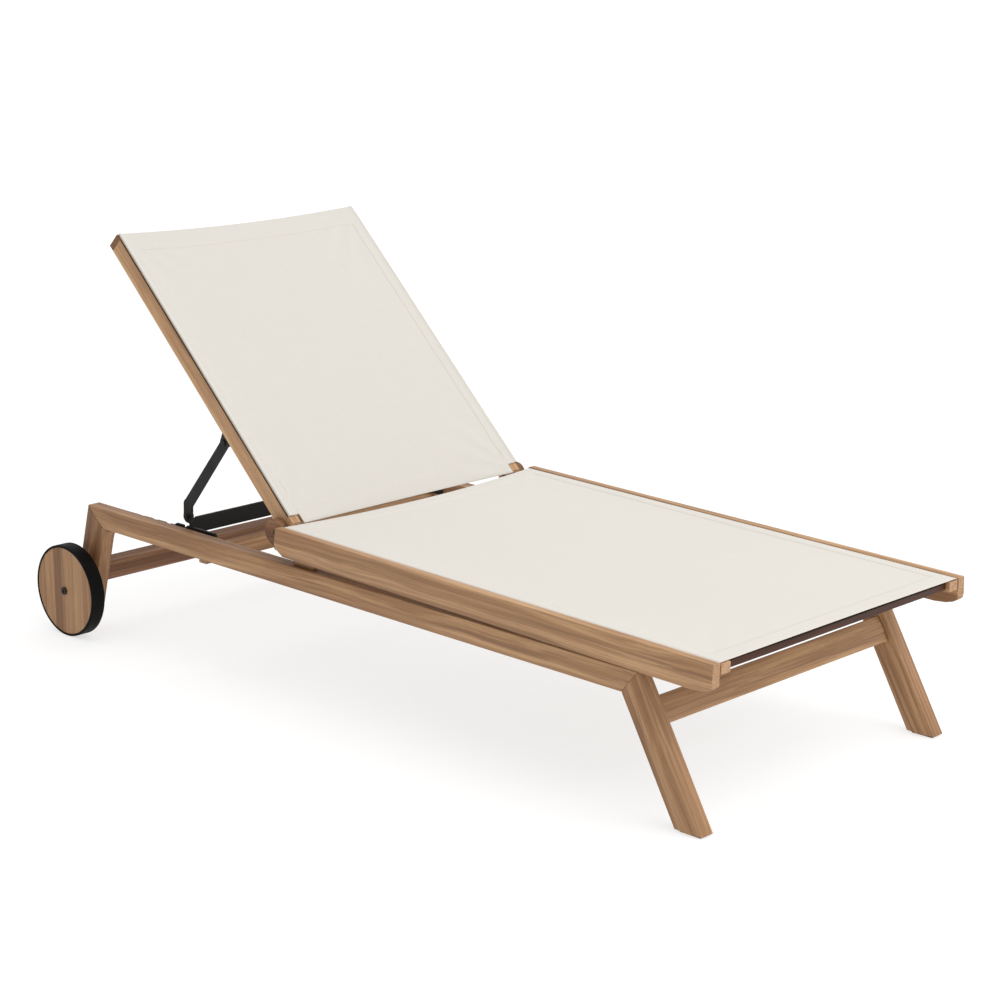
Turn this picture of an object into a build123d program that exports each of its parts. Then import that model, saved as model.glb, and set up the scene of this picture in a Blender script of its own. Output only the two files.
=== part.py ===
"""Reclining sun lounger: hardwood frame, stretched slings, two wheels, folding steel prop.

Units are millimetres.  X runs across the lounger, the foot end is toward -Y,
the head end toward +Y and Z is up.  The floor is Z = 0 and the origin is the
centre of the object's footprint on the floor.
"""
import math
import os

from build123d import *

# ------------------------------------------------------------------ sizes
SHIFT_Y = 124.15              # carries the drawing datum to the middle of the footprint

WIDTH = 760.0                # outside of the two seat rails
SEAT_FRONT_Y = -1061.0       # foot end of the seat rails
SEAT_LEN = 1119.0            # length of the seat rails
SEAT_FRONT_Z = 323.0         # top of the seat at the foot end
SEAT_TILT = 1.59             # degrees, the seat rises toward the head
RAIL_T = 22.0                # seat rail thickness
RAIL_H = 58.0                # seat rail height
RAIL_RIDGE = 34.0            # ridge line of the outer face, below the top
BATTEN_W = 26.0              # seat batten width
BATTEN_H = 20.0              # seat batten height
SLING_T = 2.4                # cloth thickness

SIDE_X = 351.0               # centre plane of a base side frame
SIDE_T = 31.0                # thickness of a side frame member at its edges
SIDE_RIDGE = 4.0             # how far the ridge stands proud of the edge
BASE_SLOPE = 0.013          # rise of the base rail toward the head
BASE_BOT_0 = 234.3           # underside height of the base rail at Y = 0
BASE_D = 45.5                # depth of the base rail
LEG_F_Y0 = -1038.4           # toe of the front leg on the floor
LEG_F_SLOPE = 0.568          # front leg runs back this much per unit of height
LEG_F_DY = 62.6              # front leg depth measured along Y
FS_Z, FS_H = 190.0, 52.0      # front stretcher, centre height and depth
LEG_R_SLOPE = 0.28           # rear leg runs out this much per unit of drop
LEG_R_REAR = 772.0           # rear face of the rear leg at floor height
LEG_R_DY = 65.0              # rear leg depth measured along Y
LEG_R_END_Z = 60.0           # cut-off height of the rear leg
GLIDE_H = 3.0                # foot glide thickness

WHEEL_R = 101.7              # tyre radius
WHEEL_W = 33.0               # tyre width
WHEEL_X0 = 393.0             # inner face of the wheel
TYRE_T = 5.0                 # tyre thickness
WHEEL_Y = 711.0              # axle line
AXLE_R = 6.0
RUN = 0.06                   # radial running clearance

PIV_Y, PIV_Z = 84.0, 336.0   # backrest hinge line
BACK_ANGLE = 44.57            # backrest above horizontal as stored
BACK_LEN = 749.0             # hinge line to the top of the backrest
BACK_HALF = 334.3            # outer face of a backrest rail
BACK_T = 26.0                # backrest rail thickness
BACK_N0, BACK_N1 = -3.7, 32.3  # rear and front faces of the backrest rails
TOP_H = 14.5                 # length of the end caps on the backrest rails
PIN_R = 5.0
ARM_X0, ARM_X1 = 337.0, 354.5    # hinge arm, inner and outer faces
ARM_R = 26.0                 # rounded head of the hinge arm

Q_S, Q_N = 239.0, -24.0      # prop hinge, in backrest coordinates
F_Y, F_Z = 402.0, 306.0      # prop foot pin as stored
STRUT_X = 320.5              # centre plane of a strut
STRUT_T = 6.0
STRUT_W = 22.0
FOOT_R = 5.0                 # foot pin radius
KNEE_Y, KNEE_Z = 401.0, 332.0  # knee of the strut as stored

os.makedirs("parts", exist_ok=True)


# ---------------------------------------------------------------- helpers
def save(shape, node):
    export_step(Pos(0, SHIFT_Y, 0) * shape, "parts/" + node + ".step")


def prism(points, x0, x1):
    """Solid from a side outline of (y, z) points, between two X planes."""
    wire = Polyline(*[(x0, p[0], p[1]) for p in points], close=True)
    return extrude(make_face(wire), amount=x1 - x0, dir=(1, 0, 0))


def box(x0, x1, y0, y1, z0, z1):
    return Pos((x0 + x1) / 2, (y0 + y1) / 2, (z0 + z1) / 2) * Box(
        abs(x1 - x0), abs(y1 - y0), abs(z1 - z0))


def rod(x0, x1, y, z, r):
    """Round bar along X."""
    return Pos((x0 + x1) / 2, y, z) * Rot(0, 90, 0) * Cylinder(r, abs(x1 - x0))


def hexbar(p0, p1, depth, xc, t=SIDE_T, ridge=SIDE_RIDGE):
    """Six-sided bar between two (y, z) points, ridged on both side faces."""
    dy, dz = p1[0] - p0[0], p1[1] - p0[1]
    length = math.hypot(dy, dz)
    ang = math.degrees(math.atan2(dz, dy))
    h, w = depth / 2, t / 2
    pts = [(-w, -h), (w, -h), (w + ridge, 0), (w, h), (-w, h), (-w - ridge, 0)]
    wire = Polyline(*[(p[0], 0, p[1]) for p in pts], close=True)
    bar = extrude(make_face(wire), amount=length, dir=(0, 1, 0))
    return Pos(xc, p0[0], p0[1]) * Rot(ang, 0, 0) * bar


def cross(a, b):
    """Crossing point of two (y, z) lines, each given by two points."""
    (x1, y1), (x2, y2) = a
    (x3, y3), (x4, y4) = b
    d = (x1 - x2) * (y3 - y4) - (y1 - y2) * (x3 - x4)
    e, f = x1 * y2 - y1 * x2, x3 * y4 - y3 * x4
    return ((e * (x3 - x4) - (x1 - x2) * f) / d, (e * (y3 - y4) - (y1 - y2) * f) / d)


def seat(shape):
    """Seat coordinates: y from the foot end, z down from the seat's top."""
    return Pos(0, SEAT_FRONT_Y, SEAT_FRONT_Z) * Rot(SEAT_TILT, 0, 0) * shape


def seat_z(y, drop=0.0):
    return SEAT_FRONT_Z + (y - SEAT_FRONT_Y) * math.tan(math.radians(SEAT_TILT)) - drop


def back(shape):
    """Backrest coordinates: y up the backrest, z out of its front face."""
    return Pos(0, PIV_Y, PIV_Z) * Rot(BACK_ANGLE, 0, 0) * shape


def mirror_x(shape):
    return mirror(shape, about=Plane.YZ)


def pair(shape, name):
    """Right piece as drawn on +X, and its mirror image on -X."""
    save(shape, name + "_right")
    save(mirror_x(shape), name + "_left")


def group(shapes, name):
    """Identical small pieces on both sides, kept together as one node."""
    whole = Part() + shapes[0]
    for s in list(shapes[1:]) + [mirror_x(s) for s in shapes]:
        whole += s
    save(whole, name)


# ------------------------------------------------------- base side frames
def base_bot(y):
    return BASE_BOT_0 + BASE_SLOPE * y


top_line = ((-1000, base_bot(-1000) + BASE_D), (800, base_bot(800) + BASE_D))
bot_line = ((-1000, base_bot(-1000)), (800, base_bot(800)))
fl_front = ((LEG_F_Y0, 0), (LEG_F_Y0 + LEG_F_SLOPE * 300, 300))
fl_rear = ((LEG_F_Y0 + LEG_F_DY, 0), (LEG_F_Y0 + LEG_F_DY + LEG_F_SLOPE * 300, 300))
rl_rear = ((LEG_R_REAR, 0), (LEG_R_REAR - LEG_R_SLOPE * 300, 300))
rl_front = ((LEG_R_REAR - LEG_R_DY, 0), (LEG_R_REAR - LEG_R_DY - LEG_R_SLOPE * 300, 300))
F_OUT, F_IN = cross(top_line, fl_front), cross(bot_line, fl_rear)
R_OUT, R_IN = cross(top_line, rl_rear), cross(bot_line, rl_front)


def past(a, b, k):
    """Point on the line from a to b, carried k past b."""
    d = math.hypot(b[0] - a[0], b[1] - a[1])
    return (b[0] + (b[0] - a[0]) * k / d, b[1] + (b[1] - a[1]) * k / d)


yc0, yc1 = F_OUT[0] - 120, R_OUT[0] + 120
rail_mid = base_bot(0) + BASE_D / 2
clip_rail = prism([past(F_IN, F_OUT, 60), past(F_OUT, F_IN, 60),
                   past(R_OUT, R_IN, 60), past(R_IN, R_OUT, 60)], 200, 500)
base_rail = hexbar((yc0, rail_mid + BASE_SLOPE * yc0), (yc1, rail_mid + BASE_SLOPE * yc1),
                   BASE_D, SIDE_X) & clip_rail
pair(base_rail, "base_rail")

lf_ang = math.atan2(1, LEG_F_SLOPE)
lf_depth = LEG_F_DY * math.sin(lf_ang)
mid_y = LEG_F_Y0 + LEG_F_DY / 2
clip_fl = prism([(LEG_F_Y0 - 120, GLIDE_H), (LEG_F_Y0 + 160, GLIDE_H),
                 past(F_OUT, F_IN, 90), past(F_IN, F_OUT, 60)], 200, 500)
front_leg = hexbar((mid_y - LEG_F_SLOPE * 60, -60), (mid_y + LEG_F_SLOPE * 340, 340),
                   lf_depth, SIDE_X) & clip_fl
pair(front_leg, "front_leg")

lr_ang = math.atan2(1, LEG_R_SLOPE)
lr_depth = LEG_R_DY * math.sin(lr_ang)
mid_r = LEG_R_REAR - LEG_R_DY / 2
clip_rl = prism([(600, LEG_R_END_Z), (820, LEG_R_END_Z),
                 past(R_IN, R_OUT, 60), past(R_OUT, R_IN, 60)], 200, 500)
rear_leg = hexbar((mid_r + LEG_R_SLOPE * 20, -20), (mid_r - LEG_R_SLOPE * 340, 340),
                  lr_depth, SIDE_X) & clip_rl
rear_leg -= rod(300, 420, WHEEL_Y, WHEEL_R, AXLE_R)
# the inside corner under the base rail is swept round
ka = past(F_IN, R_IN, -26)
kb = (R_IN[0] + LEG_R_SLOPE * 26, R_IN[1] - 26)
corner = [R_IN, ka]
for k in (0.2, 0.4, 0.6, 0.8):
    corner.append(tuple((1 - k) ** 2 * ka[i] + 2 * k * (1 - k) * R_IN[i] + k * k * kb[i] for i in (0, 1)))
corner.append(kb)
corner[0] = (corner[0][0] + 3, corner[0][1])
corner.append((kb[0] + 3, kb[1]))
rear_leg += prism([(c[0], c[1] - 0.04) for c in corner], SIDE_X - SIDE_T / 2, SIDE_X + SIDE_T / 2)
pair(rear_leg, "rear_leg")

# plastic glides under the two front legs
pair(box(SIDE_X - 12, SIDE_X + 12, LEG_F_Y0 + 8, LEG_F_Y0 + LEG_F_DY - 8, 0, GLIDE_H), "leg_glide")

# ---------------------------------------------------- members across the base
IN_X = SIDE_X - SIDE_T / 2 - SIDE_RIDGE        # inner ridge plane of a side frame


def stretcher(yc, zc, h, t, ang, ridge=3.0):
    """Six-sided bar along X, ridged on its front and rear faces."""
    pts = [(-t / 2, -h / 2), (-t / 2 - ridge, 0), (-t / 2, h / 2),
           (t / 2, h / 2), (t / 2 + ridge, 0), (t / 2, -h / 2)]
    return Pos(0, yc, zc) * Rot(ang, 0, 0) * prism(pts, -IN_X, IN_X)


fs_z = FS_Z
fs_y = mid_y + LEG_F_SLOPE * fs_z
save(stretcher(fs_y, fs_z, FS_H, 28, -(90 - math.degrees(lf_ang))), "front_stretcher")
rs_z = 134.0
save(stretcher(mid_r - LEG_R_SLOPE * rs_z, rs_z, 46, 28, 90 - math.degrees(lr_ang)), "rear_stretcher")
save(box(-IN_X, IN_X, 334, 358, 216, 252), "mid_stretcher")

# ----------------------------------------------------------------- seat frame
X_OUT = WIDTH / 2
X_IN = X_OUT - RAIL_T
rail_prof = [(X_IN, 0), (X_OUT - 3, 0), (X_OUT, -RAIL_RIDGE), (X_OUT - 9, -RAIL_H), (X_IN, -RAIL_H)]
wire = Polyline(*[(p[0], 0, p[1]) for p in rail_prof], close=True)
seat_rail = extrude(make_face(wire), amount=SEAT_LEN, dir=(0, 1, 0))
# the lower front corner is swept up like a sled, the lower rear corner is eased
seat_rail -= prism([(-5, -RAIL_H - 5), (-5, -RAIL_H + 15), (0, -RAIL_H + 15), (10, -RAIL_H + 8),
                    (26, -RAIL_H + 3), (52, -RAIL_H), (60, -RAIL_H - 5)], 300, 420)
seat_rail -= prism([(SEAT_LEN + 5, -RAIL_H - 5), (SEAT_LEN + 5, -RAIL_H + 16), (SEAT_LEN, -RAIL_H + 16),
                    (SEAT_LEN - 16, -RAIL_H), (SEAT_LEN - 20, -RAIL_H - 5)], 300, 420)
pair(seat(seat_rail), "seat_rail")

B_OUT = X_IN - 3.0
B_IN = B_OUT - BATTEN_W
B_TOP = -3.6
pair(seat(box(B_IN, B_OUT, 0.5, SEAT_LEN - 9, B_TOP - BATTEN_H, B_TOP)), "seat_batten")
# packing strip joining each batten to its rail, below the cloth's edge
group([seat(box(B_OUT, X_IN, 10, SEAT_LEN - 14, B_TOP - BATTEN_H, B_TOP - 9))], "seat_packers")

save(seat(box(-B_IN, B_IN, 9, 49, -20.5, -7)), "seat_front_bar")
save(seat(box(-B_IN, B_IN, 560, 600, -36, -16)), "seat_mid_bar")
save(seat(box(-B_IN, B_IN, SEAT_LEN - 78, SEAT_LEN - 38, -36, -16)), "seat_rear_bar")

# seat cloth: hollowed a little at its foot and head ends
half = B_OUT + 1.0
edge = [(-half, 4), (-half * .55, 5.5), (0, 6), (half * .55, 5.5), (half, 4)]
edge2 = [(half, SEAT_LEN - 5), (half * .85, SEAT_LEN - 13), (half * .5, SEAT_LEN - 27), (0, SEAT_LEN - 34.5),
         (-half * .5, SEAT_LEN - 27), (-half * .85, SEAT_LEN - 13), (-half, SEAT_LEN - 5)]
w = Polyline(*[(p[0], p[1], B_TOP + 0.4) for p in edge + edge2], close=True)
save(seat(extrude(make_face(w), amount=SLING_T, dir=(0, 0, 1))), "seat_sling")

# wood packers on the base rail: the front pair carries the seat battens, the
# rear pair stands under the hinge arms
def packer(y0, y1, top0, top1):
    return prism([(y0, base_bot(y0) + BASE_D + .02), (y1, base_bot(y1) + BASE_D + .02), (y1, top1), (y0, top0)],
                 341, 354.5)


low = BATTEN_H - B_TOP + .05
group([packer(-862, -800, seat_z(-862, low), seat_z(-800, low)), packer(-30, 30, 299.9, 299.9)], "frame_packers")

# ------------------------------------------------------------- backrest hinge
arm = prism([(-62, 300), (-62, 319), (-54, 324), (58, 324), (66, 326.5), (100, 326.5), (100, 318), (84, 300)], ARM_X0, ARM_X1)
arm += rod(ARM_X0, ARM_X1, PIV_Y + 4, PIV_Z, ARM_R)
arm -= prism([(-100, 325), (58.4, 325), (58.7, 340), (58.7, 380), (-100, 380)], 330, 366)
arm -= rod(330, 366, PIV_Y, PIV_Z, PIN_R)
pair(arm, "hinge_arm")
# the arm is packed out from the seat rail
group([prism([(-60, 302), (-60, 318), (40, 322), (40, 302)], ARM_X1, X_IN)], "hinge_arm_packers")
ring = rod(BACK_HALF + 0.5, ARM_X0, PIV_Y, PIV_Z, 17) - rod(330, 345, PIV_Y, PIV_Z, PIN_R)
group([ring], "hinge_washers")
pair(rod(BACK_HALF - BACK_T + 1, ARM_X1, PIV_Y, PIV_Z, PIN_R), "hinge_pin")

# ----------------------------------------------------------------- backrest
S1 = BACK_LEN - TOP_H
R_IN_X = BACK_HALF - BACK_T
prof = [(S1, BACK_N0), (S1, BACK_N1), (-6, BACK_N1), (-13, 20), (-15, 4), (-15, -4),
        (-9, -12), (0, -15), (9, -14), (44, BACK_N0)]
back_rail = prism(prof, R_IN_X, BACK_HALF)
back_rail -= rod(300, 350, 0, 0, PIN_R + RUN)
# groove for the spline that holds the cloth's edge
G0, G1 = BACK_HALF - 4.4, BACK_HALF - 0.8
back_rail -= box(G0, G1, -20, S1 + 5, BACK_N1 - 3.4, BACK_N1 + 5)
pair(back(back_rail), "back_rail")
group([back(box(G0 + .05, G1 - .05, 12, S1 - 2, BACK_N1 - 3.38, BACK_N1 - 0.8))], "back_splines")
group([back(box(R_IN_X, BACK_HALF, S1 + .02, BACK_LEN, BACK_N0, BACK_N1))], "back_end_caps")
save(back(box(-R_IN_X, R_IN_X, S1 - 26, BACK_LEN - 4, BACK_N0 + .2, 11)), "back_top_rail")
save(back(box(-R_IN_X, R_IN_X, 46, 82, -2, 16)), "back_lower_rail")
save(back(box(-R_IN_X, R_IN_X, 420, 452, -3.5, 12)), "back_mid_rail")
hb = G0 - 0.3
cut = R_IN_X - 5
e1 = [(-hb, 11), (-cut, 11), (-cut, -11.5), (cut, -11.5), (cut, 11), (hb, 11)]
e2 = [(hb, BACK_LEN - 1), (hb * .55, BACK_LEN - 9), (0, BACK_LEN - 12), (-hb * .55, BACK_LEN - 9),
      (-hb, BACK_LEN - 1)]
w = Polyline(*[(p[0], p[1], BACK_N1 + .3) for p in e1 + e2], close=True)
save(back(extrude(make_face(w), amount=SLING_T, dir=(0, 0, 1))), "back_sling")

# clevis under each backrest rail for the prop
C0, C1 = STRUT_X - 3.4 - 3.2, STRUT_X + 3.4 + 3.2
clev = box(C0, C1, Q_S - 20, Q_S + 20, BACK_N0 - 3, BACK_N0)
for a, b in ((C0, STRUT_X - 3.4), (STRUT_X + 3.4, C1)):
    clev += prism([(Q_S - 18, BACK_N0 - 3), (Q_S + 18, BACK_N0 - 3), (Q_S + 9, Q_N - 7),
                   (Q_S + 4, Q_N - 9), (Q_S - 4, Q_N - 9), (Q_S - 9, Q_N - 7)], a, b)
clev -= rod(C0 - 5, C1 + 5, Q_S, Q_N, 4.0)
pair(back(clev), "prop_clevis")
cpin = rod(C0 - 1.0, C1 + 1.0, Q_S, Q_N, 4.0) + rod(C1, C1 + 2.6, Q_S, Q_N, 6.5) \
    + rod(C0 - 2.6, C0, Q_S, Q_N, 6.5)
pair(back(cpin), "clevis_pin")

# ---------------------------------------------------------------------- prop
qa = math.radians(BACK_ANGLE)
Q_Y = PIV_Y + Q_S * math.cos(qa) - Q_N * math.sin(qa)
Q_Z = PIV_Z + Q_S * math.sin(qa) + Q_N * math.cos(qa)
STRUT_L = math.hypot(F_Y - Q_Y, F_Z - Q_Z)
STRUT_ANG = math.degrees(math.atan2(F_Z - Q_Z, F_Y - Q_Y))


def prop(shape):
    """Prop coordinates: y from the prop hinge toward the foot pin."""
    return Pos(0, Q_Y, Q_Z) * Rot(STRUT_ANG, 0, 0) * shape


sx0, sx1 = STRUT_X - STRUT_T / 2, STRUT_X + STRUT_T / 2
# the strut is a flat bar with a knee above the foot
kl, kn = (KNEE_Y - Q_Y), (KNEE_Z - Q_Z)
ca, sa = math.cos(math.radians(STRUT_ANG)), math.sin(math.radians(STRUT_ANG))
KNEE = (kl * ca + kn * sa, -kl * sa + kn * ca)


def link(p0, p1, w0, w1):
    """Tapered flat bar between two points of the prop's own plane."""
    d = math.hypot(p1[0] - p0[0], p1[1] - p0[1])
    nx, ny = -(p1[1] - p0[1]) / d, (p1[0] - p0[0]) / d
    return prism([(p0[0] + nx * w0, p0[1] + ny * w0), (p1[0] + nx * w1, p1[1] + ny * w1),
                  (p1[0] - nx * w1, p1[1] - ny * w1), (p0[0] - nx * w0, p0[1] - ny * w0)], sx0, sx1)


strut = link((0, 0), KNEE, STRUT_W / 2, STRUT_W / 2 + 1) + link(KNEE, (STRUT_L, 0), 13, 13)
strut += rod(sx0, sx1, 0, 0, STRUT_W / 2) + rod(sx0, sx1, KNEE[0], KNEE[1], 13) + rod(sx0, sx1, STRUT_L, 0, 14)
strut -= rod(sx0 - 2, sx1 + 2, 0, 0, 4.0 + RUN)
strut -= rod(sx0 - 2, sx1 + 2, STRUT_L, 0, FOOT_R)
pair(prop(strut), "prop_strut")
# flat crossbar standing on edge between the two feet
bar = box(-sx0, sx0, F_Y - 3, F_Y + 3, 267, 302) - rod(sx0 - 16, sx0 + 2, F_Y, F_Z, 6.4) \
    - rod(-sx0 - 2, -sx0 + 16, F_Y, F_Z, 6.4)
save(bar, "prop_crossbar")
pair(prop(rod(sx0 - 8, 330.6, STRUT_L, 0, FOOT_R)), "prop_foot_pin")

# notched rack on the inside of each base rail
RX0, RX1 = 326.4, SIDE_X - SIDE_T / 2 - SIDE_RIDGE
rack_pts = [(300, 254), (300, 284), (306, 288.5), (396, 288.5), (398, 284), (406, 284), (408, 288.5),
            (430, 288.5), (438, 283)]
y = 452.0
while y < 590:
    rack_pts += [(y, 283), (y + 3, 276), (y + 14, 276), (y + 17, 283)]
    y += 46.0
rack_pts += [(600, 283), (606, 278), (606, 254)]
rack = prism(rack_pts, RX0, RX1)
for sy in (350, 460, 570):
    rack -= rod(RX0 - 2, RX1 + 2, sy, 264, 3.0)
pair(rack, "prop_rack")


def rack_screw(sy):
    return rod(RX0 - 2.2, RX0, sy, 264, 5.5) + rod(RX0, RX1 - 0.05, sy, 264, 3.0)


group([rack_screw(v) for v in (350, 460, 570)], "rack_screws")

# -------------------------------------------------------------------- wheels
WX1 = WHEEL_X0 + WHEEL_W
disc = rod(WHEEL_X0 + 1.0, WX1 - 0.8, WHEEL_Y, WHEEL_R, WHEEL_R - TYRE_T)
disc -= rod(WHEEL_X0 - 2, WX1 + 2, WHEEL_Y, WHEEL_R, AXLE_R + RUN)
pair(disc, "wheel_disc")
tyre = rod(WHEEL_X0, WX1, WHEEL_Y, WHEEL_R, WHEEL_R)
tyre = chamfer(tyre.edges().filter_by(GeomType.CIRCLE), 1.2)
tyre -= rod(WHEEL_X0 - 2, WX1 + 2, WHEEL_Y, WHEEL_R, WHEEL_R - TYRE_T)
pair(tyre, "wheel_tyre")
pair(rod(337.0, WX1 - 0.5, WHEEL_Y, WHEEL_R, AXLE_R), "wheel_axle")
bush = rod(SIDE_X + SIDE_T / 2 + SIDE_RIDGE, WHEEL_X0 + 0.6, WHEEL_Y, WHEEL_R, 15)
bush -= rod(360, 400, WHEEL_Y, WHEEL_R, AXLE_R)
pair(bush, "axle_spacer")
cap = rod(WX1 - 0.5, WX1 + 3.2, WHEEL_Y, WHEEL_R, 8.5)
cap -= rod(WX1 + 1.2, WX1 + 4, WHEEL_Y, WHEEL_R, 3.2)
group([cap], "axle_caps")
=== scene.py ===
import math
import random

import bmesh
import bpy
from mathutils import Matrix, Vector


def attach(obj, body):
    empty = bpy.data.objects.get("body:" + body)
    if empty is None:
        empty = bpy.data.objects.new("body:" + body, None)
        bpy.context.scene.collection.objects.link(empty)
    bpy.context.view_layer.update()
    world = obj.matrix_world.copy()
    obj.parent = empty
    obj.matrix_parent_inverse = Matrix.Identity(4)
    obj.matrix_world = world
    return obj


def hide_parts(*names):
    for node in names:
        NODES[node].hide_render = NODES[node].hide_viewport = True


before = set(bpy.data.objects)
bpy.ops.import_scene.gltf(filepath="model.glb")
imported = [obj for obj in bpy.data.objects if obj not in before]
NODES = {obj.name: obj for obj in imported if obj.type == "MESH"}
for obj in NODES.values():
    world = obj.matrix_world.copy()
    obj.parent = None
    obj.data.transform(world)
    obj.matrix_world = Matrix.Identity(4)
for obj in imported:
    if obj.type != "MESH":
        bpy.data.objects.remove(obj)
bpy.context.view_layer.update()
rnd = random.Random(7)

SHIFT_Y = 0.12415
SEAT_O = Vector((0, -1.061 + SHIFT_Y, 0.323))
SEAT_TILT = math.radians(1.59)
PIV = Vector((0, 0.084 + SHIFT_Y, 0.336))
BACK_ANG = math.radians(44.57)
WHEEL_Y, WHEEL_Z = 0.711 + SHIFT_Y, 0.1017


def lin(r, g, b):
    def f(c):
        c /= 255.0
        return c / 12.92 if c <= 0.04045 else ((c + 0.055) / 1.055) ** 2.4
    return (f(r), f(g), f(b), 1.0)


# ------------------------------------------------------------- node helpers
class Graph:
    def __init__(self, name):
        self.mat = bpy.data.materials.new(name)
        self.mat.use_nodes = True
        self.t = self.mat.node_tree
        self.t.nodes.clear()
        self.out = self.t.nodes.new("ShaderNodeOutputMaterial")
        self.bsdf = self.t.nodes.new("ShaderNodeBsdfPrincipled")
        self.t.links.new(self.bsdf.outputs[0], self.out.inputs[0])

    def n(self, kind, **props):
        node = self.t.nodes.new(kind)
        for k, v in props.items():
            setattr(node, k, v)
        return node

    def link(self, a, b):
        self.t.links.new(a, b)

    def put(self, sock, v):
        if hasattr(v, "is_linked") or isinstance(v, bpy.types.NodeSocket):
            self.link(v, sock)
        else:
            sock.default_value = v

    def math(self, op, a, b=None, clamp=False):
        m = self.n("ShaderNodeMath", operation=op, use_clamp=clamp)
        self.put(m.inputs[0], a)
        if b is not None:
            self.put(m.inputs[1], b)
        return m.outputs[0]

    def ramp(self, fac, stops, interp="LINEAR"):
        r = self.n("ShaderNodeValToRGB")
        r.color_ramp.interpolation = interp
        e = r.color_ramp.elements
        while len(e) > 1:
            e.remove(e[0])
        e[0].position, e[0].color = stops[0][0], stops[0][1]
        for p, c in stops[1:]:
            x = e.new(p)
            x.color = c
        self.put(r.inputs[0], fac)
        return r.outputs[0]

    def mix(self, fac, a, b, mode="MIX"):
        m = self.n("ShaderNodeMix", data_type="RGBA", blend_type=mode)
        self.put(m.inputs[0], fac)
        self.put(m.inputs[6], a)
        self.put(m.inputs[7], b)
        return m.outputs[2]

    def noise(self, vec, scale, detail=4.0, rough=0.55, dist=0.0):
        x = self.n("ShaderNodeTexNoise")
        self.put(x.inputs["Vector"], vec)
        x.inputs["Scale"].default_value = scale
        x.inputs["Detail"].default_value = detail
        x.inputs["Roughness"].default_value = rough
        x.inputs["Distortion"].default_value = dist
        return x.outputs["Fac"]

    def mapping(self, vec, loc=(0, 0, 0), rot=(0, 0, 0), scale=(1, 1, 1)):
        m = self.n("ShaderNodeMapping", vector_type="POINT")
        self.put(m.inputs[0], vec)
        m.inputs[1].default_value = loc
        m.inputs[2].default_value = rot
        m.inputs[3].default_value = scale
        return m.outputs[0]

    def bump(self, height, strength, dist, base=None):
        b = self.n("ShaderNodeBump")
        b.inputs["Strength"].default_value = strength
        b.inputs["Distance"].default_value = dist
        self.put(b.inputs["Height"], height)
        if base is not None:
            self.link(base, b.inputs["Normal"])
        return b.outputs[0]


def grey(v):
    return (v, v, v, 1.0)


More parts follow.
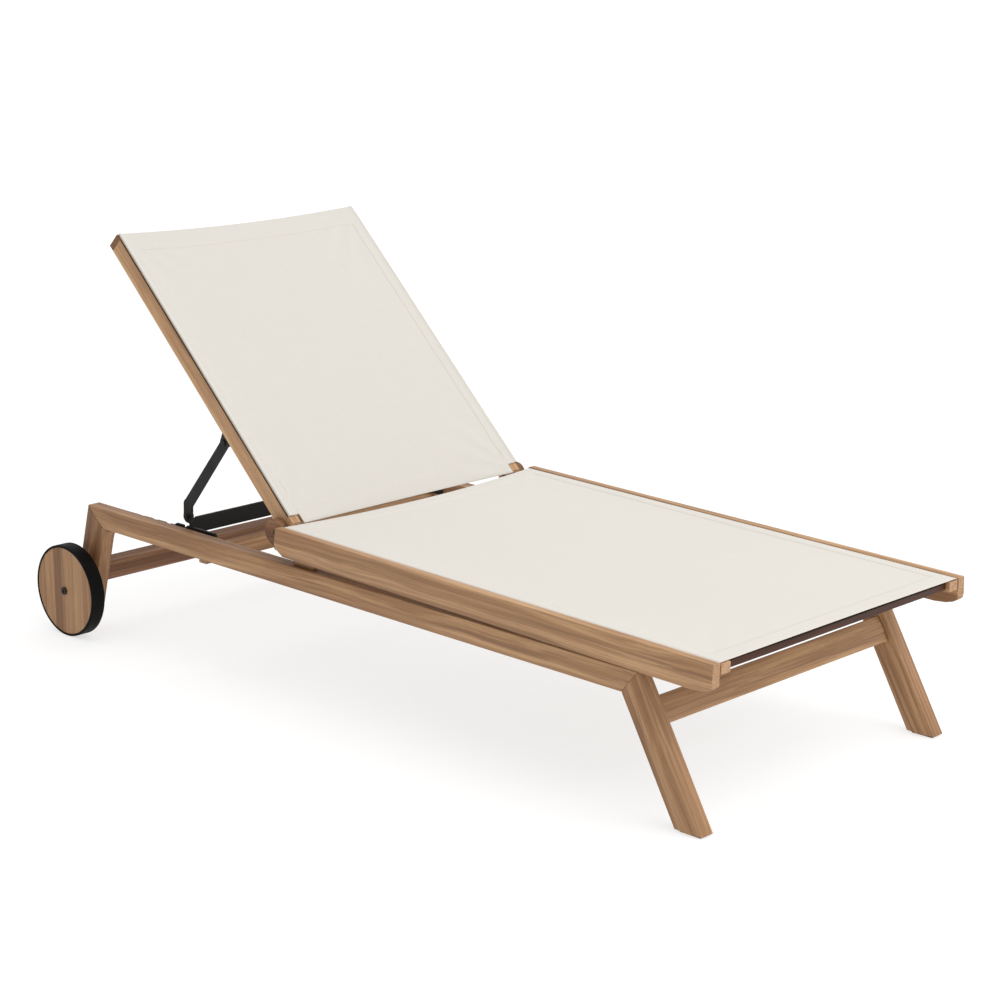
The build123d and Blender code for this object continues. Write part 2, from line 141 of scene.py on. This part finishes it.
def wood(name, axis, seed, tone=0.0, boards=None):
    """Oiled straight-grained hardwood. axis: unit vector of the grain in the row frame."""
    g = Graph(name)
    r = random.Random(seed)
    geo = g.n("ShaderNodeTexCoord").outputs["Object"]
    # turn the row frame so that the grain runs along the texture's Z
    q = Vector(axis).normalized().rotation_difference(Vector((0, 0, 1)))
    v = g.mapping(geo, rot=q.to_euler("XYZ"))
    v = g.mapping(v, loc=(r.uniform(-3, 3), r.uniform(-3, 3), r.uniform(-3, 3)))
    bend = g.noise(g.mapping(v, scale=(3, 3, 1.1)), 2.0, 2.0, 0.5)
    shift = g.n("ShaderNodeVectorMath", operation="SCALE")
    comb = g.n("ShaderNodeCombineXYZ")
    g.put(comb.inputs[0], bend)
    g.put(comb.inputs[1], bend)
    g.link(comb.outputs[0], shift.inputs[0])
    shift.inputs["Scale"].default_value = 0.035
    add = g.n("ShaderNodeVectorMath", operation="ADD")
    g.link(v, add.inputs[0])
    g.link(shift.outputs[0], add.inputs[1])
    w = add.outputs[0]
    # growth bands, wide and narrow
    broad = g.noise(g.mapping(w, scale=(38, 38, 0.9)), 1.0, 3.0, 0.6)
    fine = g.noise(g.mapping(w, scale=(190, 190, 3.0)), 1.0, 4.0, 0.62)
    pores = g.noise(g.mapping(w, scale=(900, 900, 22)), 1.0, 3.0, 0.6)
    patch = g.noise(g.mapping(v, scale=(5, 5, 1.4)), 1.0, 2.0, 0.5)
    k = tone
    dark = lin(112 + k, 74 + k, 46 + k * .8)
    mid = lin(158 + k, 115 + k, 78 + k * .8)
    light = lin(190 + k, 149 + k, 108 + k * .8)
    col = g.ramp(broad, [(0.30, dark), (0.47, mid), (0.60, light), (0.74, mid)])
    col = g.mix(g.ramp(fine, [(0.40, grey(1)), (0.56, grey(0))]), col, g.mix(0.50, col, lin(100 + k, 66 + k * .7, 42 + k * .5)))
    streak = g.ramp(g.noise(g.mapping(w, scale=(75, 75, 0.6)), 1.0, 2.0, 0.5), [(0.60, grey(0)), (0.69, grey(0.65))])
    col = g.mix(streak, col, lin(92 + k * .6, 60 + k * .5, 40 + k * .3))
    col = g.mix(g.ramp(pores, [(0.30, grey(0.55)), (0.42, grey(0))]), col, lin(80 + k * .5, 52 + k * .4, 36 + k * .3))
    col = g.mix(0.28, col, g.ramp(patch, [(0.3, lin(134 + k, 96 + k, 64 + k)), (0.7, lin(194 + k, 158 + k, 120 + k))]))
    if boards:
        col = boards(g, geo, col)
    # end grain: darker, with close rings
    normal = g.n("ShaderNodeNewGeometry").outputs["True Normal"]
    dot = g.n("ShaderNodeVectorMath", operation="DOT_PRODUCT")
    g.link(normal, dot.inputs[0])
    dot.inputs[1].default_value = Vector(axis).normalized()
    facing = g.ramp(g.math("ABSOLUTE", dot.outputs["Value"]), [(0.80, grey(0)), (0.93, grey(1))])
    rings = g.noise(g.mapping(w, scale=(150, 420, 40)), 1.0, 3.0, 0.6)
    endcol = g.ramp(rings, [(0.35, lin(124 + k, 88 + k, 62 + k)), (0.55, lin(176 + k, 138 + k, 104 + k)), (0.7, lin(140 + k, 102 + k, 74 + k))])
    col = g.mix(g.math("MULTIPLY", facing, 0.8), col, endcol)
    g.link(col, g.bsdf.inputs["Base Color"])
    rough = g.ramp(fine, [(0.3, grey(0.66)), (0.7, grey(0.50))])
    g.link(rough, g.bsdf.inputs["Roughness"])
    g.bsdf.inputs["Specular IOR Level"].default_value = 0.34
    b = g.bump(fine, 0.20, 0.0006)
    b = g.bump(pores, 0.25, 0.0003, b)
    g.link(b, g.bsdf.inputs["Normal"])
    return g.mat


def black_steel(name="black_powder_coat"):
    g = Graph(name)
    v = g.n("ShaderNodeTexCoord").outputs["Object"]
    grain = g.noise(v, 1500.0, 2.0, 0.6)
    wear = g.noise(v, 22.0, 4.0, 0.6)
    col = g.mix(g.ramp(wear, [(0.42, grey(0)), (0.68, grey(1))]), lin(12, 11, 10), lin(24, 22, 20))
    g.link(col, g.bsdf.inputs["Base Color"])
    g.link(g.ramp(wear, [(0.35, grey(0.46)), (0.7, grey(0.62))]), g.bsdf.inputs["Roughness"])
    g.bsdf.inputs["Specular IOR Level"].default_value = 0.30
    g.link(g.bump(grain, 0.25, 0.0002), g.bsdf.inputs["Normal"])
    return g.mat


def steel(name="bright_steel"):
    g = Graph(name)
    v = g.n("ShaderNodeTexCoord").outputs["Object"]
    scr = g.noise(g.mapping(v, scale=(60, 2200, 2200)), 1.0, 2.0, 0.6)
    g.bsdf.inputs["Metallic"].default_value = 1.0
    g.link(g.ramp(scr, [(0.3, lin(150, 150, 148)), (0.7, lin(196, 196, 192))]), g.bsdf.inputs["Base Color"])
    g.link(g.ramp(scr, [(0.3, grey(0.26)), (0.7, grey(0.42))]), g.bsdf.inputs["Roughness"])
    g.link(g.bump(scr, 0.15, 0.0001), g.bsdf.inputs["Normal"])
    return g.mat


def rubber(name="tyre_rubber"):
    g = Graph(name)
    v = g.n("ShaderNodeTexCoord").outputs["Object"]
    dust = g.noise(v, 35.0, 5.0, 0.6)
    tiny = g.noise(v, 1200.0, 2.0, 0.6)
    g.link(g.mix(g.ramp(dust, [(0.45, grey(0)), (0.75, grey(1))]), lin(5, 5, 5), lin(15, 14, 13)), g.bsdf.inputs["Base Color"])
    g.link(g.ramp(dust, [(0.3, grey(0.52)), (0.7, grey(0.74))]), g.bsdf.inputs["Roughness"])
    g.bsdf.inputs["Specular IOR Level"].default_value = 0.10
    g.link(g.bump(tiny, 0.2, 0.0002), g.bsdf.inputs["Normal"])
    return g.mat


def cloth(name, origin, tilt, tone=0.0):
    """Fine woven mesh cloth. Threads follow the cloth's own width and length."""
    g = Graph(name)
    geo = g.n("ShaderNodeTexCoord").outputs["Object"]
    sub = g.n("ShaderNodeVectorMath", operation="SUBTRACT")
    g.link(geo, sub.inputs[0])
    sub.inputs[1].default_value = origin
    v = g.mapping(sub.outputs[0], rot=(-tilt, 0, 0))
    sep = g.n("ShaderNodeSeparateXYZ")
    g.link(v, sep.inputs[0])
    pitch = 0.0016
    wx = g.math("SINE", g.math("MULTIPLY", sep.outputs[0], 2 * math.pi / pitch))
    wy = g.math("SINE", g.math("MULTIPLY", sep.outputs[1], 2 * math.pi / pitch))
    weave = g.math("MULTIPLY", wx, wy)
    ridge = g.math("ADD", g.math("MULTIPLY", weave, 0.5), 0.5)
    slub = g.noise(g.mapping(v, scale=(420, 9, 9)), 1.0, 2.0, 0.6)
    slub2 = g.noise(g.mapping(v, scale=(9, 420, 9)), 1.0, 2.0, 0.6)
    cloud = g.noise(v, 3.0, 3.0, 0.5)
    base = lin(214 + tone, 210 + tone, 202 + tone)
    dim = lin(203 + tone, 198 + tone, 190 + tone)
    col = g.mix(g.math("MULTIPLY", ridge, 0.30), base, dim)
    col = g.mix(g.ramp(slub, [(0.35, grey(0.16)), (0.6, grey(0))]), col, dim)
    col = g.mix(g.ramp(slub2, [(0.35, grey(0.16)), (0.6, grey(0))]), col, dim)
    col = g.mix(g.ramp(cloud, [(0.35, grey(0.22)), (0.65, grey(0))]), col, lin(206, 200, 191))
    g.link(col, g.bsdf.inputs["Base Color"])
    g.bsdf.inputs["Roughness"].default_value = 0.82
    g.bsdf.inputs["Specular IOR Level"].default_value = 0.22
    g.bsdf.inputs["Sheen Weight"].default_value = 0.18
    g.bsdf.inputs["Sheen Roughness"].default_value = 0.5
    b = g.bump(ridge, 0.22, 0.0004)
    b = g.bump(slub, 0.08, 0.0004, b)
    g.link(b, g.bsdf.inputs["Normal"])
    return g.mat


def thread_mat(name):
    g = Graph(name)
    v = g.n("ShaderNodeTexCoord").outputs["Object"]
    ply = g.noise(v, 2400.0, 2.0, 0.6)
    g.link(g.mix(ply, lin(205, 200, 191), lin(222, 217, 208)), g.bsdf.inputs["Base Color"])
    g.bsdf.inputs["Roughness"].default_value = 0.75
    g.link(g.bump(ply, 0.2, 0.0001), g.bsdf.inputs["Normal"])
    return g.mat


def set_mat(obj, mat):
    obj.data.materials.clear()
    obj.data.materials.append(mat)


def soften(obj, width=0.0012, seg=2, angle=25):
    """Clean the facets of a plain solid and ease its edges."""
    w = obj.modifiers.new("weld", "WELD")
    w.merge_threshold = 0.00002
    d = obj.modifiers.new("planar", "DECIMATE")
    d.decimate_type = "DISSOLVE"
    d.angle_limit = math.radians(1.0)
    b = obj.modifiers.new("ease", "BEVEL")
    b.width = width
    b.segments = seg
    b.limit_method = "ANGLE"
    b.angle_limit = math.radians(angle)
    b.harden_normals = False
    b.use_clamp_overlap = True


def smooth_by_angle(obj, deg=35):
    me = obj.data
    for p in me.polygons:
        p.use_smooth = True


# -------------------------------------------------------------- CAD materials
Y = Vector((0, 1, 0))
X = Vector((1, 0, 0))
Z = Vector((0, 0, 1))
seat_dir = Vector((0, math.cos(SEAT_TILT), math.sin(SEAT_TILT)))
base_dir = Vector((0, 1, 0.013)).normalized()
back_dir = Vector((0, math.cos(BACK_ANG), math.sin(BACK_ANG)))
fl_dir = Vector((0, 0.568, 1)).normalized()
rl_dir = Vector((0, -0.28, 1)).normalized()

wood_axis = {
    "base_rail": base_dir, "front_leg": fl_dir, "rear_leg": rl_dir,
    "front_stretcher": X, "rear_stretcher": X, "mid_stretcher": X,
    "seat_rail": seat_dir, "seat_batten": seat_dir, "seat_packers": seat_dir,
    "seat_front_bar": X, "seat_mid_bar": X, "seat_rear_bar": X,
    "frame_packers": Y, "hinge_arm": Y, "hinge_arm_packers": Y,
    "back_rail": back_dir, "back_end_caps": X,
    "back_top_rail": X, "back_lower_rail": X, "back_mid_rail": X,
}


def boards(g, geo, col):
    """The wheel's face is glued up from upright strips."""
    sep = g.n("ShaderNodeSeparateXYZ")
    g.link(geo, sep.inputs[0])
    y = g.math("ADD", sep.outputs[1], -(WHEEL_Y - 0.1017 - 1.0))
    u = g.math("DIVIDE", y, 0.0345)
    cell = g.math("FLOOR", u)
    fac = g.math("DIVIDE", g.math("SUBTRACT", cell, 28.5), 6.0)
    tint = g.ramp(fac, [(0.0, lin(150, 112, 78)), (0.17, lin(178, 140, 102)), (0.335, lin(160, 120, 84)),
                        (0.50, lin(116, 84, 58)), (0.67, lin(168, 128, 90)), (0.84, lin(146, 108, 76))], "CONSTANT")
    col = g.mix(0.50, col, tint)
    f = g.math("FRACT", u)
    edge = g.math("MINIMUM", f, g.math("SUBTRACT", 1.0, f))
    line = g.ramp(edge, [(0.0, grey(0.8)), (0.022, grey(0))])
    return g.mix(line, col, lin(70, 46, 32))


mats = {"black": black_steel(), "steel": steel(), "rubber": rubber()}
seed = 11
for name, obj in sorted(NODES.items()):
    seed += 1
    stem = name.replace("_left", "").replace("_right", "")
    if stem in wood_axis:
        # Per-piece tone shifts. The dark tones of seat_front_bar, hinge_arm, rear_stretcher and rear_leg are painted
        # shade: those parts sit in shadow under the seat cloth and backrest, and the darkening stands in for that
        # shadow. The other entries set the wood's own colour.
        tone = {"back_rail": 22, "seat_batten": 14, "back_end_caps": -38, "hinge_arm": -44, "seat_front_bar": -88,
                "front_stretcher": 8, "seat_rail": 7, "rear_leg": -18, "rear_stretcher": -44, "base_rail": 4, "front_leg": -4}.get(stem, 0)
        set_mat(obj, wood("wood_" + name, wood_axis[stem], seed, tone))
        soften(obj, {"seat_packers": 0.0006, "back_rail": 0.0005, "back_end_caps": 0.0009}.get(stem, 0.0016))
    elif stem == "wheel_disc":
        set_mat(obj, wood("wood_" + name, Z, seed, -8, boards))
        soften(obj, 0.0010)
    elif stem == "wheel_tyre":
        set_mat(obj, mats["rubber"])
        smooth_by_angle(obj)
    elif stem == "leg_glide":
        set_mat(obj, mats["black"])
    elif stem in ("wheel_axle", "rack_screws"):
        set_mat(obj, mats["steel"])
    elif "sling" in stem:
        pass
    else:
        set_mat(obj, mats["black"])
        soften(obj, 0.0006)

# ---------------------------------------------------------------- cloth pieces
def make_mesh(name, verts, faces, mat, body, smooth=True):
    me = bpy.data.meshes.new(name)
    me.from_pydata([tuple(v) for v in verts], [], faces)
    me.validate()
    me.update()
    if smooth:
        for p in me.polygons:
            p.use_smooth = True
    bm = bmesh.new()
    bm.from_mesh(me)
    for e in bm.edges:
        if len(e.link_faces) == 2 and e.calc_face_angle(0) > math.radians(50):
            e.smooth = False
    bm.to_mesh(me)
    bm.free()
    ob = bpy.data.objects.new(name, me)
    bpy.context.scene.collection.objects.link(ob)
    me.materials.append(mat)
    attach(ob, body)
    return ob


def seat_pt(x, y, z):
    c, s = math.cos(SEAT_TILT), math.sin(SEAT_TILT)
    return Vector((x, SEAT_O.y + y * c - z * s, SEAT_O.z + y * s + z * c))


def back_pt(x, y, z):
    c, s = math.cos(BACK_ANG), math.sin(BACK_ANG)
    return Vector((x, PIV.y + y * c - z * s, PIV.z + y * s + z * c))


def sling(name, pt, half, y0f, y1f, cols, ztop, r, drop, sag, body, mat, hem_side, hem0, hem1, wrinkle, bead=0.0):
    """A stretched cloth with hems; its long edges turn down beside what holds them.

    y0f and y1f give the two ends of the cloth for each x; cols are extra columns."""
    nx, ny = 90, 130
    th = 0.0011
    core = half - r
    us = {round(-1 + 2.0 * i / nx, 6) for i in range(1, nx)}
    for x in list(cols) + [core - hem_side + 0.0003, core - hem_side - 0.0003] + [core - 0.0012 * k for k in range(1, 9)]:
        us |= {round(x / core, 6), round(-x / core, 6)}
    us = sorted(us)
    prof = []          # (x, z, u) across the cloth, u = -1..1 over the flat part
    for i in range(4):
        prof.append((-half, ztop - r - drop * (1 - i / 4.0), -1.0))
    for i in range(5):
        a = math.pi / 2 * i / 4
        prof.append((-half + r - r * math.cos(a), ztop - r + r * math.sin(a), -1.0))
    for u in us:
        prof.append((u * core, ztop, u))
    for i in range(5):
        a = math.pi / 2 * (1 - i / 4)
        prof.append((half - r + r * math.cos(a), ztop - r + r * math.sin(a), 1.0))
    for i in range(1, 5):
        prof.append((half, ztop - r - drop * (i / 4.0), 1.0))
    mid = y1f(0) - y0f(0)
    ts = {i / ny for i in range(ny + 1)}
    ts |= {(hem0 - 0.0003) / mid, (hem0 + 0.0003) / mid, 1 - (hem1 - 0.0003) / mid, 1 - (hem1 + 0.0003) / mid}
    ts |= {0.0012 / mid, 1 - 0.0012 / mid}
    ts = sorted(ts)

    def height(x, u, t, lift):
        flat = 1 - abs(u) ** 6
        zz = -sag * flat * math.sin(math.pi * t) ** 0.7 + wrinkle(u, t) * flat
        near = (core - abs(x)) / 0.0042 if abs(u) < 1 else 0.0
        zz += bead * math.exp(-near * near)
        if lift and abs(u) < 1:
            d = min(t * mid - hem0, (1 - t) * mid - hem1, core - hem_side - abs(x))
            if d < 0:
                zz += 0.00055
                end = min(t, 1 - t) * mid
                if end < 0.0012:
                    zz -= 0.00045
        return zz

    verts, faces = [], []
    n = len(prof)

    def layer(offset, lift):
        base = len(verts)
        for t in ts:
            for j, (x, z, u) in enumerate(prof):
                x1 = x
                y = y0f(x) * (1 - t) + y1f(x) * t
                z1 = z + height(x, u, t, lift)
                if offset:
                    if j < 4:
                        x1 += offset
                    elif j < 9:
                        a = math.pi / 2 * (j - 4) / 4
                        x1 += offset * math.cos(a)
                        z1 -= offset * math.sin(a)
                    elif j >= n - 4:
                        x1 -= offset
                    elif j >= n - 9:
                        a = math.pi / 2 * (1 - (j - (n - 9)) / 4)
                        x1 -= offset * math.cos(a)
                        z1 -= offset * math.sin(a)
                    else:
                        z1 -= offset
                verts.append(pt(x1, y, z1))
        return base

    top = layer(0.0, True)
    bot = layer(th, False)
    m = len(ts)
    for i in range(m - 1):
        for j in range(n - 1):
            a, b = i * n + j, i * n + j + 1
            c, d = (i + 1) * n + j + 1, (i + 1) * n + j
            faces.append((top + a, top + b, top + c, top + d))
            faces.append((bot + d, bot + c, bot + b, bot + a))
    for j in range(n - 1):
        faces.append((top + j + 1, top + j, bot + j, bot + j + 1))
        k = (m - 1) * n
        faces.append((top + k + j, top + k + j + 1, bot + k + j + 1, bot + k + j))
    for i in range(m - 1):
        a, b = i * n, (i + 1) * n
        faces.append((top + a, top + b, bot + b, bot + a))
        a, b = i * n + n - 1, (i + 1) * n + n - 1
        faces.append((top + b, top + a, bot + a, bot + b))
    ob = make_mesh(name, verts, faces, mat, body)
    area = 0.0
    for i in range(m - 1):
        for j in range(n - 1):
            q = [verts[top + k] for k in (i * n + j, i * n + j + 1, (i + 1) * n + j + 1, (i + 1) * n + j)]
            area += 0.5 * ((q[2] - q[0]).cross(q[3] - q[1])).length

    def on(x, y):
        """Point of the cloth's top face at (x, y), a hair above it."""
        u = x / core
        t = min(1.0, max(0.0, (y - y0f(x)) / (y1f(x) - y0f(x))))
        return Vector((x, y, ztop + height(x, u, t, True)))

    return ob, on, area


def stitches(name, pt, on, lines, body, mat, step=0.0042, size=0.0027, rad=0.00030):
    """Short raised thread stitches along lines of (x, y) points on the cloth."""
    verts, faces = [], []
    up = Vector((0, 0, 1))
    for line in lines:
        for (xa, ya), (xb, yb) in zip(line, line[1:]):
            L = math.hypot(xb - xa, yb - ya)
            k = max(1, int(L / step))
            for i in range(k):
                f = (i + 0.5) / k
                x, y = xa + (xb - xa) * f, ya + (yb - ya) * f
                d = Vector(((xb - xa) / L, (yb - ya) / L, 0))
                c = on(x, y)
                side = d.cross(up)
                base = len(verts)
                for e, s_ in ((-0.5, 0.2), (-0.25, 1.0), (0.25, 1.0), (0.5, 0.2)):
                    for q in ((-1, -0.15), (-0.55, 0.8), (0.55, 0.8), (1, -0.15)):
                        w = c + d * size * e + side * rad * q[0] + up * rad * q[1] * s_
                        verts.append(pt(w.x, w.y, w.z))
                for r_ in range(3):
                    v = base + r_ * 4
                    for c_ in range(3):
                        faces.append((v + c_ + 1, v + c_, v + c_ + 4, v + c_ + 5))
                    faces.append((v, v + 3, v + 7, v + 4))
                faces.append((base, base + 1, base + 2, base + 3))
                faces.append((base + 15, base + 14, base + 13, base + 12))
    return make_mesh(name, verts, faces, mat, body)


cloth_seat = cloth("cloth_seat", SEAT_O, SEAT_TILT, -2)
cloth_back = cloth("cloth_back", PIV, BACK_ANG, -8)
thread = thread_mat("cloth_thread")


def seat_wrinkle(u, t):
    w = 0.0004 * math.sin(7.0 * t * math.pi + 1.5 * u) * (1 - t) * t
    for cu, ct in ((-1, 0), (1, 0), (-1, 1), (1, 1)):
        du, dt = (u - cu) * 0.35, (t - ct) * 1.11
        r = math.hypot(du, dt)
        ang = math.atan2(dt * (1 if ct == 0 else -1), du * -cu)
        w += 0.0006 * math.sin(ang * 13.0) * math.exp(-((r - 0.10) / 0.06) ** 2)
    return w


def back_wrinkle(u, t):
    w = 0.0
    for cu, ct in ((-1, 0), (1, 0), (-1, 1), (1, 1)):
        du, dt = (u - cu) * 0.33, (t - ct) * 0.75
        r = math.hypot(du, dt)
        ang = math.atan2(dt * (1 if ct == 0 else -1), du * -cu)
        w += 0.0010 * math.sin(ang * 15.0) * math.exp(-((r - 0.11) / 0.075) ** 2)
    return w


def hollow(x, half, dip):
    k = min(1.0, abs(x) / half)
    return dip * (1 - k * k)


# seat cloth, hollowed at both ends
S_LEN, S_HALF = 1.119, 0.3563
S_HEM0, S_HEM1, S_SIDE = 0.034, 0.034, 0.026


def s0(x):
    return 0.004 + hollow(x, S_HALF, 0.002)


def s1(x):
    return S_LEN - 0.0052 - hollow(x, S_HALF, 0.0295)


seat_sl, seat_on, seat_area = sling("seat_cloth", seat_pt, S_HALF, s0, s1, [], -0.0009, 0.0024, 0.0085, 0.0035,
                                    "frame", cloth_seat, S_SIDE, S_HEM0, S_HEM1, seat_wrinkle)
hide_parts("seat_sling")

# backrest cloth, cut back at its two lower corners where the rails' ends show
B_LEN, B_HALF, B_CUT = 0.749, 0.3296, 0.3033
B_HEM0, B_HEM1, B_SIDE = 0.040, 0.046, 0.028


def b0(x):
    if abs(x) >= B_CUT:
        return 0.0112
    return -0.0115 + hollow(x, B_CUT, 0.0008)


def b1(x):
    return B_LEN - 0.0006 - hollow(x, B_HALF, 0.011)


back_sl, back_on, back_area = sling("back_cloth", back_pt, B_HALF, b0, b1, [B_CUT - 0.0002, B_CUT + 0.0002],
                                    0.0347, 0.0020, 0.0017, 0.0012, "backrest", cloth_back,
                                    B_SIDE, B_HEM0, B_HEM1, back_wrinkle, 0.0017)
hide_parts("back_sling")


def rows(f, sign, offs, x0, n=60):
    return [[(-x0 + 2 * x0 * i / n, f(-x0 + 2 * x0 * i / n) + sign * o) for i in range(n + 1)] for o in offs]


def sides(f0, f1, xs, e0, e1, n=60):
    out = []
    for x in xs:
        for k in (-1, 1):
            ya, yb = f0(x) + e0, f1(x) - e1
            out.append([(k * x, ya + (yb - ya) * i / n) for i in range(n + 1)])
    return out


seat_lines = rows(s0, 1, (0.0045, S_HEM0 - 0.0035), S_HALF - 0.006) + rows(s1, -1, (0.0045, S_HEM1 - 0.0035), S_HALF - 0.006)
seat_lines += sides(s0, s1, (S_HALF - 0.0024 - S_SIDE + 0.003,), 0.008, 0.008)
seat_st = stitches("seat_stitching", seat_pt, seat_on, seat_lines, "frame", thread)
back_lines = rows(b0, 1, (0.0045, B_HEM0 - 0.0035), B_CUT - 0.004) + rows(b1, -1, (0.0045, B_HEM1 - 0.0035), B_HALF - 0.006)
back_lines += sides(b0, b1, (B_HALF - 0.0020 - B_SIDE + 0.0035,), 0.02, 0.008)
back_st = stitches("back_stitching", back_pt, back_on, back_lines, "backrest", thread)


# areas of the two cuts, worked out from their outlines and turned-down edges
def cut_area(f0, f1, half, width, n=4000):
    dx = 2 * half / n
    face = sum((f1(-half + (i + 0.5) * dx) - f0(-half + (i + 0.5) * dx)) * dx for i in range(n))
    return face + (width - 2 * half) * (f1(half) - f0(half))


S_CUT, B_CUTSIZE = (0.734, 1.112), (0.664, 0.761)
s_area = cut_area(s0, s1, S_HALF, S_CUT[0])
b_area = cut_area(b0, b1, B_HALF, B_CUTSIZE[0])
print("cloth areas: cut", round(s_area, 4), round(b_area, 4), "made", round(seat_area, 4), round(back_area, 4))

# ------------------------------------------------------------------ stage
bpy.ops.mesh.primitive_plane_add(size=400, location=(0, 0, 0))
floor = bpy.context.object
floor.name = "floor"
fm = bpy.data.materials.new("floor")
fm.use_nodes = True
fb = fm.node_tree.nodes["Principled BSDF"]
fb.inputs["Base Color"].default_value = (0.38, 0.38, 0.38, 1)
fb.inputs["Emission Color"].default_value = (1, 1, 1, 1)
fb.inputs["Emission Strength"].default_value = 0.655
fb.inputs["Roughness"].default_value = 0.9
fb.inputs["Specular IOR Level"].default_value = 0.1
floor.data.materials.append(fm)

world = bpy.data.worlds.new("world")
bpy.context.scene.world = world
world.use_nodes = True
wt = world.node_tree
bg = wt.nodes["Background"]
bg.inputs[0].default_value = (1.0, 1.0, 1.0, 1)
wc = wt.nodes.new("ShaderNodeTexCoord")
wd = wt.nodes.new("ShaderNodeVectorMath")
wd.operation = "DOT_PRODUCT"
wd.inputs[1].default_value = Vector((0.72, -0.34, 0.60)).normalized()
wt.links.new(wc.outputs["Generated"], wd.inputs[0])
wm = wt.nodes.new("ShaderNodeMapRange")
wm.interpolation_type = "SMOOTHSTEP"
wm.inputs["From Min"].default_value = -0.75
wm.inputs["From Max"].default_value = 0.65
wm.inputs["To Min"].default_value = 0.42
wm.inputs["To Max"].default_value = 1.18
wt.links.new(wd.outputs["Value"], wm.inputs["Value"])
wt.links.new(wm.outputs["Result"], bg.inputs[1])


def area(name, loc, target, size, power):
    li = bpy.data.lights.new(name, "AREA")
    li.shape = "RECTANGLE"
    li.size, li.size_y = size
    li.energy = power
    ob = bpy.data.objects.new(name, li)
    bpy.context.scene.collection.objects.link(ob)
    ob.location = loc
    ob.rotation_euler = (Vector(target) - Vector(loc)).to_track_quat("-Z", "Y").to_euler()
    return ob


area("key", (0.6, -3.4, 4.0), (0, 0, 0.3), (3.2, 3.2), 72)
area("fill", (4.0, -2.0, 2.6), (0, 0, 0.4), (3.0, 3.0), 10)

cam = bpy.data.cameras.new("camera")
cam_ob = bpy.data.objects.new("camera", cam)
bpy.context.scene.collection.objects.link(cam_ob)
az, el = math.radians(-46.012), math.radians(14.145)
back_v = Vector((math.sin(az) * math.cos(el), -math.cos(az) * math.cos(el), math.sin(el)))
right_v = Vector((math.cos(az), math.sin(az), 0))
up_v = back_v.cross(right_v)
rot = Matrix((right_v, up_v, back_v)).transposed()
cam_ob.matrix_world = Matrix.Translation(Vector((-3.316926, -3.403103 + SHIFT_Y, 1.550837))) @ rot.to_4x4()
cam.sensor_width = 36.0
cam.lens = 36.0 * 2.351381
cam.clip_start, cam.clip_end = 0.1, 100
bpy.context.scene.camera = cam_ob
bpy.context.scene.view_settings.view_transform = "Standard"

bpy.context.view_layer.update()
